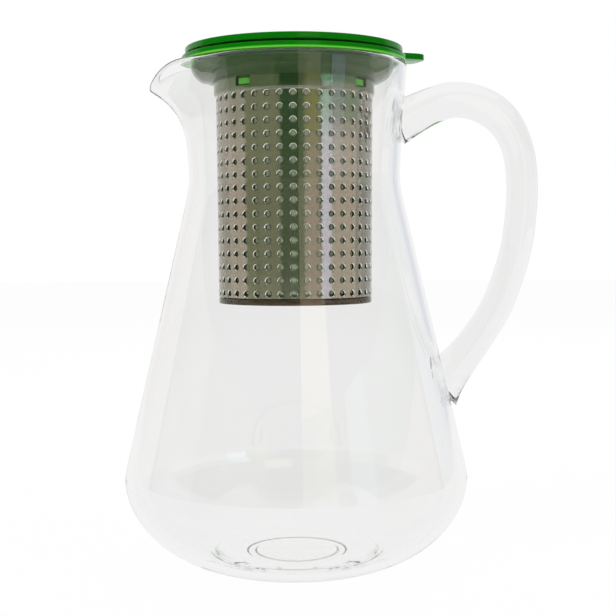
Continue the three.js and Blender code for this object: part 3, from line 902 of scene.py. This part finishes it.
    def handle(self) -> Piece:
        """An oval band along the spine, thicker by |2s - 1|^power towards its roots.

        Returns:
            The closed band p + thickness / 2 cos a across the spine and width / 2 sin a
            beside it, whose ends still reach into the jug's wall.
        """
        line = self.spine(self.spine_steps)
        along = unit(np.gradient(line, axis=0))
        gaps = np.linalg.norm(np.diff(line, axis=0), axis=1)
        length = np.concatenate([[0.0], np.cumsum(gaps)])
        share = (length / length[-1])[:, None]
        root = np.abs(2 * share - 1) ** self.root_power
        top = 1 - smooth_share(share, *self.top_fade)
        growth = np.where(share < 0.5, self.root_growth, self.foot_growth)
        thick = (self.handle_thickness * (1 + (growth - 1) * root)
                 * (1 + (self.top_growth - 1) * top))
        angle = circle(self.handle_sides)
        side = 0.5 * thick * np.cos(angle)
        rings = np.stack([
            line[:, :1] + along[:, 1:] * side,
            0.0 * side + 0.5 * self.handle_width * np.sin(angle),
            line[:, 1:] - along[:, :1] * side], axis=-1)
        first, last = (ring.mean(axis=0) + 0.0 * ring for ring in (rings[0], rings[-1]))
        return Patchwork().add_grid(np.stack([first, *rings, last])).piece("handle_band")

    def core(self) -> Piece:
        """A solid inside the glass, which trims the handle's ends.

        Returns:
            The outside moved in by half the wall, filled to the axis.
        """
        heights = np.linspace(self.neck_height, self.rim_height, 12)
        top = np.column_stack([self.neck_radius_at(heights), heights])
        side = np.concatenate([self.lower_outline(), top]) - [self.wall / 2, 0.0]
        profile = np.vstack([[0.0, 1.0], side, [0.0, self.rim_height]])
        return solid_of_turning("jug_core", profile, self.columns, looped=False)

    def build(self) -> None:
        """Makes the glass in one piece, handle and all, and dresses it."""
        handle = combined(self.handle(), [self.core()], Cut.REMOVE)
        glass = combined(self.body(), [handle], Cut.JOIN, self.sharp)
        dress(glass, ClearGlass(), "jug", "jug_glass", "jug_body", "jug_handle")


# Basket


@dataclass
class Basket:
    """The perforated smoke-grey basket with its collar and its dark base.

    The sizes of windows and lugs are (width, height). The base's plug is as narrow as one
    that fits inside a wall of plug_sides flat sides.
    """

    columns: int = 39
    front_column: float = 269.1
    rows: int = 16
    pitch: float = 5.41
    hole: float = 2.1
    countersink: float = 0.45
    sink_depth: float = 0.45
    top_radius: float = 33.3
    bottom_radius: float = 32.7
    wall: float = 1.7
    bottom: float = 113.1
    band: float = 2.5
    first_rise: float = 2.2
    top_margin: float = 1.4
    collar_radius: float = 34.2
    collar_wall: float = 1.3
    collar_rise: float = 11.4
    seat_gap: float = 0.3
    collar_softness: float = 0.35
    base_softness: float = 0.5
    plug_sides: int = 36
    plug_rise: float = 0.35
    plug_wall: float = 1.2
    floor: float = 1.8
    window_size: tuple[float, float] = (7.2, 3.8)
    window_rise: float = 1.2
    lug_size: tuple[float, float] = (5.6, 2.4)
    lug_radius: float = 33.3
    lug_azimuths: tuple = (-37, 53, 143, 233)

    @property
    def first_row(self) -> float:
        """The height of the lowest row of holes."""
        return self.bottom + self.band + self.first_rise

    @property
    def step_height(self) -> float:
        """The height where the holed wall ends and the collar begins."""
        return self.first_row + (self.rows - 1) * self.pitch + self.top_margin

    @property
    def ledge(self) -> float:
        """The height where the collar has reached its full radius."""
        return self.step_height + self.collar_radius - self.top_radius

    @property
    def window_low(self) -> float:
        """The lower edge of the windows that the lugs snap into."""
        return self.ledge + self.window_rise

    @property
    def collar_top(self) -> float:
        """The height of the collar's upper edge."""
        return self.step_height + self.collar_rise

    def wall_points(self, angle: np.ndarray, height: Numbers, depth: float) -> np.ndarray:
        """Points on a cone that lies depth inside the wall's outer face.

        Args:
            angle: Angles in radians.
            height: Heights, which broadcast with the angles.
            depth: How far inside.

        Returns:
            The points at r = bottom radius + (top radius - bottom radius) s - depth.
        """
        share = (height - self.bottom) / (self.step_height - self.bottom)
        radius = self.bottom_radius + (self.top_radius - self.bottom_radius) * share - depth
        return polar(radius, angle, height)

    def cells(self) -> tuple[np.ndarray, np.ndarray]:
        """The holed wall's cells, one round each hole.

        Returns:
            The points of every cell, of shape (cells, rings, 16, 3): the cell's edge, the
            countersink's edge, the hole's outer and inner rim, the inner countersink's
            edge, and the cell's inner edge. Then quads that number a cell's points.
        """
        side = np.array([0, 0.5, 1, 1, 1, 1, 1, 0.5, 0, -0.5, -1, -1, -1, -1, -1, -0.5])
        across, up = np.roll(side, -4), side
        turn = circle(len(side))
        middle = circle(self.columns)[:, None, None]
        height = self.first_row + np.arange(self.rows) * self.pitch
        low = np.minimum(self.pitch / 2, height - self.bottom - self.band - self.seat_gap)
        high = np.minimum(self.pitch / 2, self.step_height - height)
        edge = height[:, None] + np.where(up < 0, low[:, None], high[:, None]) * up
        half_angle = np.pi / self.columns
        scale = 1.0 / (self.top_radius - self.wall / 2)
        sink = self.hole / 2 + self.countersink
        rings = []
        for radius, depth in ((0.0, 0.0), (sink, 0.0), (self.hole / 2, self.sink_depth),
                              (self.hole / 2, self.wall - self.sink_depth),
                              (sink, self.wall), (0.0, self.wall)):
            if radius:
                angle = middle + radius * scale * np.cos(turn)
                level = height[:, None] + radius * np.sin(turn)
            else:
                angle, level = middle + half_angle * across, edge
            rings.append(self.wall_points(angle, level, depth).reshape(-1, len(side), 3))
        return np.stack(rings, axis=1), grid_quads(len(rings), len(side))

    def wall_piece(self) -> Piece:
        """The wall and collar.

        Returns:
            The holed cells and a turned collar, less the lugs' windows and grooves.
        """
        points, quads = self.cells()
        shift = np.arange(len(points))[:, None, None] * points[0, :, :, 0].size
        inner = self.collar_radius - self.collar_wall
        collar = rounded([
            (self.top_radius, self.step_height), (self.collar_radius, self.ledge),
            (self.collar_radius, self.collar_top), (inner, self.collar_top),
            (inner, self.ledge), (self.top_radius - self.wall, self.step_height)],
            self.collar_softness, 3, looped=False)
        foot = self.bottom + self.band + self.seat_gap
        around = circle(4 * self.columns)
        wall = (Patchwork().add(points, quads + shift)
                .add_grid(turned(collar, 4 * self.columns))
                .add_grid(np.stack([self.wall_points(around, foot, depth)
                                    for depth in (0.0, self.wall)]))
                .turn(self.front_column).piece("basket_shell"))
        width, height = self.window_size
        windows = blocks("window", (inner - SPARE, self.collar_radius + SPARE), width,
                         (self.window_low, self.window_low + height), self.lug_azimuths)
        grooves = blocks("groove", (inner - SPARE, self.lug_radius + self.seat_gap),
                         self.lug_size[0] + 2 * self.seat_gap,
                         (self.window_low + SPARE, self.collar_top + SPARE),
                         self.lug_azimuths)
        return combined(wall, windows + grooves, Cut.REMOVE)

    def base_piece(self) -> Piece:
        """The base, whose rim plugs into the wall.

        Returns:
            A turned shallow dish.
        """
        top = self.bottom + self.band
        plug = (self.bottom_radius - self.wall) * math.cos(math.pi / self.plug_sides)
        plug -= self.seat_gap
        dish = plug - self.plug_wall
        profile = rounded([
            (0.0, self.bottom), (self.bottom_radius, self.bottom), (self.bottom_radius, top),
            (plug, top), (plug, top + self.plug_rise), (dish, top + self.plug_rise),
            (dish, self.bottom + self.floor), (0.0, self.bottom + self.floor)],
            self.base_softness, 4, looped=False)
        return solid_of_turning("basket_floor", profile, looped=False)

    def build(self) -> None:
        """Makes and dresses both pieces."""
        cone = tuple(size * MM for size in (self.bottom, self.bottom_radius,
                                            self.step_height, self.top_radius))
        dress(self.wall_piece(), SmokePlastic("basket_smoke", cone=cone), "basket",
              "basket_smoke", "basket_wall")
        dress(self.base_piece(), AmberSmoke(), "basket", "base_dark", "basket_base")


# Lid


@dataclass
class Lid:
    """The green ring that sits on the jug, its silicone skirt and the turning disc.

    A tuple of three is an inner radius, an outer radius and a height. The seat is a radius
    and a height, and the key an outer radius and a width.
    """

    flange_radius: float = 47.7
    flange_bottom: float = 214.7
    flange_top: float = 217.2
    land: tuple[float, float, float] = (35.0, 43.0, 217.95)
    seat: tuple[float, float] = (34.13, 216.2)
    lug_sleeve: tuple[float, float, float] = (31.46, 32.42, 201.75)
    plug: tuple[float, float, float] = (40.6, 42.4, 213.5)
    skirt_wall: float = 1.1
    skirt_depth: float = 6.8
    skirt_narrow: float = 34.55
    disc_radius: float = 46.2
    disc_bottom: float = 218.3
    disc_top: float = 220.9
    disc_recess: float = 0.8
    disc_rim: float = 3.9
    tab_azimuth: float = 20.0
    tab_reach: float = 13.2
    tab_width: float = 16.0
    tab_corner: float = 6.0
    tab_softness: float = 0.45
    gap: float = 0.3
    ring_softness: float = 0.35
    disc_softness: float = 0.5
    lug_root: float = 0.5
    lug_corner: float = 0.4
    hub: tuple[float, float, float] = (27.57, 29.37, 207.5)
    key: tuple[float, float] = (30.83, 4.0)
    key_root: float = 0.9
    key_corner: float = 0.3
    key_heights: tuple[float, float] = (-3.0, 0.4)

    def ring(self, basket: Basket) -> Piece:
        """The ring: flange, land, plug and the sleeve that carries the snap lugs.

        Args:
            basket: The basket whose windows the lugs sit in.

        Returns:
            The ring in one piece.
        """
        bore, sleeve, low = self.lug_sleeve
        plug_in, plug_out, plug_low = self.plug
        land_in, land_out, land_top = self.land
        profile = rounded([
            (bore, low), (sleeve, low), (sleeve, self.flange_bottom),
            (plug_in, self.flange_bottom), (plug_in, plug_low), (plug_out, plug_low),
            (plug_out, self.flange_bottom), (self.flange_radius, self.flange_bottom),
            (self.flange_radius, self.flange_top), (land_out, self.flange_top),
            (land_out, land_top), (land_in, land_top), (land_in, self.flange_top),
            (self.seat[0], self.flange_top), self.seat, (bore, self.seat[1])],
            self.ring_softness, 4)
        width, height = basket.lug_size
        lug_low = basket.window_low + (basket.window_size[1] - height) / 2
        lugs = blocks("lug", (bore + self.lug_root, basket.lug_radius), width,
                      (lug_low, lug_low + height), basket.lug_azimuths, self.lug_corner)
        return combined(solid_of_turning("lid_ring_green", profile), lugs, Cut.JOIN)

    def skirt(self) -> Piece:
        """The skirt, a wall between two quarters of an ellipse.

        Returns:
            The skirt turned from r = narrow + (wide - narrow) cos a, h = top - deep sin a.
        """
        top = self.plug[2] - self.gap
        angle = np.linspace(0.0, np.pi / 2, 25)

        def quarter(wide: float, deep: float) -> np.ndarray:
            """The quarter from the plug's edge, wide, down to the collar, deep below it."""
            return np.column_stack([
                self.skirt_narrow + (wide - self.skirt_narrow) * np.cos(angle),
                top - deep * np.sin(angle)])

        outside = quarter(self.plug[1], self.skirt_depth)
        inside = quarter(self.plug[1] - self.skirt_wall, self.skirt_depth - self.skirt_wall)
        return solid_of_turning("skirt", np.concatenate([outside, inside[::-1]]))

    def tab(self) -> Piece:
        """The thumb tab.

        Returns:
            A tongue as thick as the disc, whose edges are quarter rounds of its softness.
        """
        outline = plate((self.disc_radius - self.disc_rim / 2,
                         self.disc_radius + self.tab_reach),
                        self.tab_width, self.tab_corner, 10)
        quarter = np.linspace(0.0, np.pi / 2, 5)
        grown = self.tab_softness * (1 - np.cos(quarter))
        left = self.tab_softness * (1 - np.sin(quarter))
        layers = [*zip(left, self.disc_bottom + grown), *zip(grown, self.disc_top - left)]
        return prism(outline, layers).turn(self.tab_azimuth).piece("tab")

    def disc(self) -> Piece:
        """The turning disc.

        Returns:
            The disc, its recess and its hub turned from a profile, with keys and tab joined.
        """
        hub_in, hub_out, hub_low = self.hub
        recess = self.disc_top - self.disc_recess
        edge = self.disc_radius - self.disc_rim
        profile = rounded([
            (0.0, recess), (edge - self.disc_recess, recess), (edge, self.disc_top),
            (self.disc_radius, self.disc_top), (self.disc_radius, self.disc_bottom),
            (hub_out, self.disc_bottom), (hub_out, hub_low), (hub_in, hub_low),
            (hub_in, self.disc_bottom), (0.0, self.disc_bottom)],
            self.disc_softness, 5, looped=False)
        keys = blocks("key", (hub_in + self.key_root, self.key[0]), self.key[1],
                      [self.disc_bottom + rise for rise in self.key_heights],
                      KEY_AZIMUTHS, self.key_corner)
        disc = solid_of_turning("green_disc", profile, 180, looped=False)
        return combined(disc, [self.tab(), *keys], Cut.JOIN)

    def build(self, basket: Basket) -> None:
        """Makes and dresses the lid's pieces, for the basket that the ring carries."""
        dress(self.ring(basket), GreenPlastic("ring_green"), "lid", "ring_green", "lid_ring")
        dress(self.skirt(), PaleSilicone(), "lid", "skirt_silicone", "centring_skirt")
        # The disc's painted highlight runs along its own lower outer edge, a little above the
        # ring's.
        dress(self.disc(), GreenPlastic("disc_green", painted_highlight_low=0.2176, painted_highlight_high=0.2186),
              "cap", "disc_green", "turn_disc")


# Inner sleeve and mesh


@dataclass
class Infuser:
    """The slotted sleeve inside the basket and the woven steel that lines it.

    The flange is a radius and its two heights, and the keyway an inner radius, a width and
    its lower height.
    """

    bottom: float = 116.3
    floor_top: float = 117.3
    slot_bottom: float = 117.6
    slot_top: float = 200.0
    slotted_top: float = 200.35
    outer_low: float = 30.55
    outer_high: float = 31.13
    wall: float = 1.3
    floor_ring: float = 2.2
    flange: tuple[float, float, float] = (33.43, 216.55, 217.75)
    slots: int = 36
    slot_width: float = 2.5
    bar_width: float = 2.4
    bar_corner: float = 0.2
    softness: float = 0.25
    keyway: tuple[float, float, float] = (29.37, 4.6, 215.0)
    mesh_thickness: float = 0.4
    mesh_gap: float = 0.3
    mesh_start: float = 0.6
    mesh_margin: float = 0.45
    mesh_top: float = 200.05

    def radius_at(self, height: Numbers) -> Numbers:
        """The sleeve's outer radius: a straight taper, upright above the slots."""
        share = (height - self.bottom) / (self.slotted_top - self.bottom)
        return self.outer_low + (self.outer_high - self.outer_low) * np.clip(share, 0.0, 1.0)

    def sleeve(self) -> Piece:
        """The sleeve.

        Returns:
            A turned tube with its flange, two bars across its floor, and slots and keyways.
        """
        rows = np.linspace(self.bottom, self.slotted_top, 3)
        flange, flange_low, flange_high = self.flange
        key_radius, key_width, key_low = self.keyway
        inner_low = self.radius_at(self.floor_top) - self.wall
        inner_high = self.outer_high - self.wall
        floor_radius = inner_low - self.floor_ring
        profile = rounded([
            *zip(self.radius_at(rows), rows), (self.outer_high, flange_low),
            (flange, flange_low), (flange, flange_high), (inner_high, flange_high),
            (inner_high, self.slotted_top), (inner_low, self.floor_top),
            (floor_radius, self.floor_top), (floor_radius, self.bottom)], self.softness, 2)
        reach = floor_radius + SPARE
        bars = blocks("bar", (-reach, reach), self.bar_width, (self.bottom, self.floor_top),
                      (0.0, 90.0), self.bar_corner)
        tube = combined(solid_of_turning("sleeve", profile, 180), bars, Cut.JOIN)
        slots = blocks("slot", (inner_low - SPARE, self.outer_high + SPARE), self.slot_width,
                       (self.slot_bottom, self.slot_top),
                       np.arange(self.slots) * (360.0 / self.slots))
        keyways = blocks("keyway", (key_radius, flange + SPARE), key_width,
                         (key_low, flange_high + SPARE), KEY_AZIMUTHS)
        return combined(tube, slots + keyways, Cut.REMOVE)

    def side_mesh(self) -> Piece:
        """The woven wall.

        Returns:
            A thin tube just inside the sleeve, which narrows with it.
        """
        low, high = self.floor_top + self.mesh_thickness + self.mesh_start, self.mesh_top
        foot, top = self.radius_at(np.array([low, high])) - self.wall - self.mesh_gap
        thin = self.mesh_thickness
        return solid_of_turning("woven_wall", np.array([
            (foot, low), (top, high), (top - thin, high), (foot - thin, low)]))

    def floor_mesh(self) -> Piece:
        """The woven floor.

        Returns:
            A thin disc that stands off the sleeve's bars by the gap.
        """
        low = self.floor_top + self.mesh_gap
        high = low + self.mesh_thickness
        radius = self.radius_at(low) - self.wall - self.mesh_margin
        return solid_of_turning("woven_floor", np.array([
            (0.0, low), (radius, low), (radius, high), (0.0, high)]), looped=False)

    def build(self) -> None:
        """Makes and dresses the three pieces."""
        smoke = SmokePlastic("sleeve_smoke", (0.3, 0.31, 0.24), mirror=0.3, roughness=0.3)
        dress(self.sleeve(), smoke, "control", "sleeve_smoke", "brew_sleeve")
        dress(self.side_mesh(), WovenSteel("woven_wall"), "control", "side_mesh_steel",
              "side_mesh")
        dress(self.floor_mesh(), WovenSteel("woven_floor", upright=False), "control",
              "floor_mesh_steel", "floor_mesh")


# Studio


@dataclass(frozen=True)
class Card(Finish):
    """A glowing card that only mirrored light shows.

    It is a strip of a tall cylinder round the jug: azimuths are in degrees from the
    camera's side, positive to the right, and heights and radius are in metres. Gloss
    behind glass always shows it, and bare gloss only where bare says so.
    """

    azimuths: tuple[float, float]
    heights: tuple[float, float]
    colour: Colour
    radius: float = 1.6
    bare: bool = False
    columns: int = 24

    def shade(self, shader: Shader) -> Value:
        """A plain glow, which light that was never mirrored passes through."""
        mirrored = shader.maths("MINIMUM", shader.ray("Glossy Depth"), 1.0)
        return shader.mixed(mirrored, shader.clear(), shader.glow(self.colour))

    def build(self) -> None:
        """Makes the card from x = r sin a, y = -r cos a at its two heights."""
        angle = np.radians(np.linspace(*self.azimuths, self.columns))
        grid = np.stack([polar(self.radius, angle - np.pi / 2, height)
                         for height in self.heights]) / MM
        card = Patchwork().add_grid(grid, round_columns=False).piece(self.name)
        card.data.materials.append(self.material())
        card.visible_camera = card.visible_diffuse = card.visible_shadow = False
        card.visible_glossy = self.bare


@dataclass(frozen=True)
class WhiteFloor(Finish):
    """Glowing white with a little matt white, which takes the jug's soft shadow."""

    name: str = "floor_white"
    matt: float = 0.9
    share: float = 0.96
    dimming: float = 0.1

    def shade(self, shader: Shader) -> Value:
        """Mostly glow to the eye and to gloss, and all matt to diffuse light."""
        matt = shader.value("ShaderNodeBsdfDiffuse", Color=(self.matt,) * 3)
        glow = shader.glow((1.0, 1.0, 1.0), 1.0 - shader.ray("Is Glossy Ray") * self.dimming)
        share = self.share - shader.ray("Is Diffuse Ray") * self.share
        return shader.mixed(share, matt, glow)


@dataclass
class Studio:
    """The white room, its lamps, the cards that the gloss shows, and the camera."""

    distance: float = 0.52675
    eye_height: float = 0.13846
    pitch: float = 3.014
    yaw: float = -0.585
    roll: float = -0.33
    focal_pixels: float = 1225.0
    width_pixels: float = 616.0
    sensor: float = 36.0
    aim_height: float = 0.12
    diffuse_dimming: float = 0.45
    gloss_dimming: float = 0.1
    floor_reach: float = 4000.0
    floor_drop: float = 0.2
    bounces: int = 28
    clear_bounces: int = 32
    glossy_bounces: int = 24
    lamps: tuple = (
        ("key", (-0.9, -0.7, 1.1), 0.8, 9.0),
        ("fill", (1.0, -0.5, 0.7), 0.8, 4.0),
        ("back", (0.2, 1.1, 1.0), 0.9, 6.0),
    )
    cards: tuple[Card, ...] = (
        Card("dark_room", (-110.0, 110.0), (-1.5, 2.6), (0.13, 0.14, 0.11), 1.9, True),
        Card("left_room", (-152.0, -110.0), (-1.5, 2.6), (0.87, 0.85, 0.84), 1.9, True),
        Card("right_room", (110.0, 152.0), (-1.5, 2.6), (0.72, 0.74, 0.78), 1.9, True),
        Card("beige_left", (-110.0, -73.0), (-0.6, 0.31), (1.12, 1.03, 0.98)),
        Card("grey_beige_left", (-110.0, -73.0), (0.31, 0.56), (0.85, 0.84, 0.78)),
        Card("grey_left", (-73.0, -20.0), (-0.6, 0.56), (0.42, 0.48, 0.31)),
        Card("green_cloth", (-20.0, 13.0), (0.255, 0.56), (0.005, 0.12, 0.005), 1.55),
        Card("green_floor", (-20.0, 13.0), (-0.6, 0.255), (0.13, 0.22, 0.1), 1.55),
        Card("lime_leaf", (13.0, 35.0), (0.29, 0.56), (0.3, 0.38, 0.01), 1.55),
        Card("beige_door", (13.0, 37.0), (-0.6, 0.29), (0.66, 0.59, 0.5), 1.56),
        Card("window", (39.0, 54.0), (-0.6, 0.32), (1.7, 1.75, 2.3), 1.55),
        Card("green_window", (37.0, 54.0), (0.32, 0.56), (0.75, 1.3, 1.1), 1.55),
        Card("cream_strip", (4.0, 26.0), (-0.2, 1.25), (1.1, 0.95, 0.7), 1.75, True),
        Card("green_wall", (54.0, 110.0), (0.32, 0.56), (0.4, 0.62, 0.46)),
        Card("warm_wall", (54.0, 110.0), (-0.6, 0.32), (1.18, 1.06, 1.0)),
    )

    def camera(self) -> None:
        """Stands the camera at the photograph's place, turned as it was held."""
        data = bpy.data.cameras.new("camera")
        data.sensor_width = self.sensor
        data.lens = self.sensor * self.focal_pixels / self.width_pixels
        data.clip_start, data.clip_end = 0.01, 20.0
        camera = bpy.data.objects.new("camera", data)
        aim = (Euler((0.0, 0.0, math.radians(self.yaw))).to_matrix()
               @ Euler((math.radians(90.0 - self.pitch), 0.0, 0.0)).to_matrix()
               @ Euler((0.0, 0.0, math.radians(self.roll))).to_matrix())
        camera.matrix_world = (Matrix.Translation((0.0, -self.distance, self.eye_height))
                               @ aim.to_4x4())
        bpy.context.scene.collection.objects.link(camera)
        bpy.context.scene.camera = camera

    def world(self) -> None:
        """A white surround: full to the eye, dimmer to gloss and dimmest to diffuse light."""
        shader = Shader(bpy.data.worlds.new("white_room"))
        strength = (1.0 - shader.ray("Is Diffuse Ray") * self.diffuse_dimming
                    - shader.ray("Is Glossy Ray") * self.gloss_dimming)
        bpy.context.scene.world = shader.surface(shader.value(
            "ShaderNodeBackground", Color=(1.0, 1.0, 1.0), Strength=strength))

    def floor(self) -> None:
        """A wide pale floor that looks white but keeps a soft shadow."""
        side = np.array([-self.floor_reach, self.floor_reach])
        x, y = np.meshgrid(side, side)
        grid = np.stack([x, y, np.full_like(x, -self.floor_drop)], axis=-1)
        floor = Patchwork().add_grid(grid, round_columns=False).piece("floor")
        floor.data.materials.append(WhiteFloor().material())

    def lamp(self, name: str, place: Sequence[float], size: float, power: float) -> None:
        """A square soft lamp that is turned towards the jug's middle.

        Args:
            name: The lamp's name.
            place: Where it hangs, in metres.
            size: Its side in metres.
            power: Its power in watts.
        """
        data = bpy.data.lights.new(name, "AREA")
        data.energy, data.size = power, size
        lamp = bpy.data.objects.new(name, data)
        away = np.array(place) - [0.0, 0.0, self.aim_height]
        azimuth = math.atan2(away[1], away[0])
        tilt = math.acos(away[2] / np.linalg.norm(away))
        lamp.matrix_world = (Matrix.Translation(place)
                             @ Euler((0.0, tilt, azimuth)).to_matrix().to_4x4())
        lamp.visible_glossy = lamp.visible_transmission = False
        bpy.context.scene.collection.objects.link(lamp)

    def build(self) -> None:
        """Sets the camera, the room, the lamps and the cards."""
        self.camera()
        self.world()
        self.floor()
        for name, place, size, power in self.lamps:
            self.lamp(name, place, size, power)
        for card in self.cards:
            card.build()
        scene = bpy.context.scene
        scene.view_settings.view_transform = "Standard"
        scene.cycles.max_bounces = scene.cycles.transmission_bounces = self.bounces
        scene.cycles.transparent_max_bounces = self.clear_bounces
        scene.cycles.glossy_bounces = self.glossy_bounces


def main() -> None:
    """Builds the studio and every sub-assembly, and writes how large the result is."""
    logging.basicConfig(level=logging.INFO, format="%(name)s: %(message)s")
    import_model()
    Studio().build()
    Jug().build()
    basket = Basket()
    basket.build()
    Lid().build(basket)
    Infuser().build()


if __name__ == "__main__":
    main()
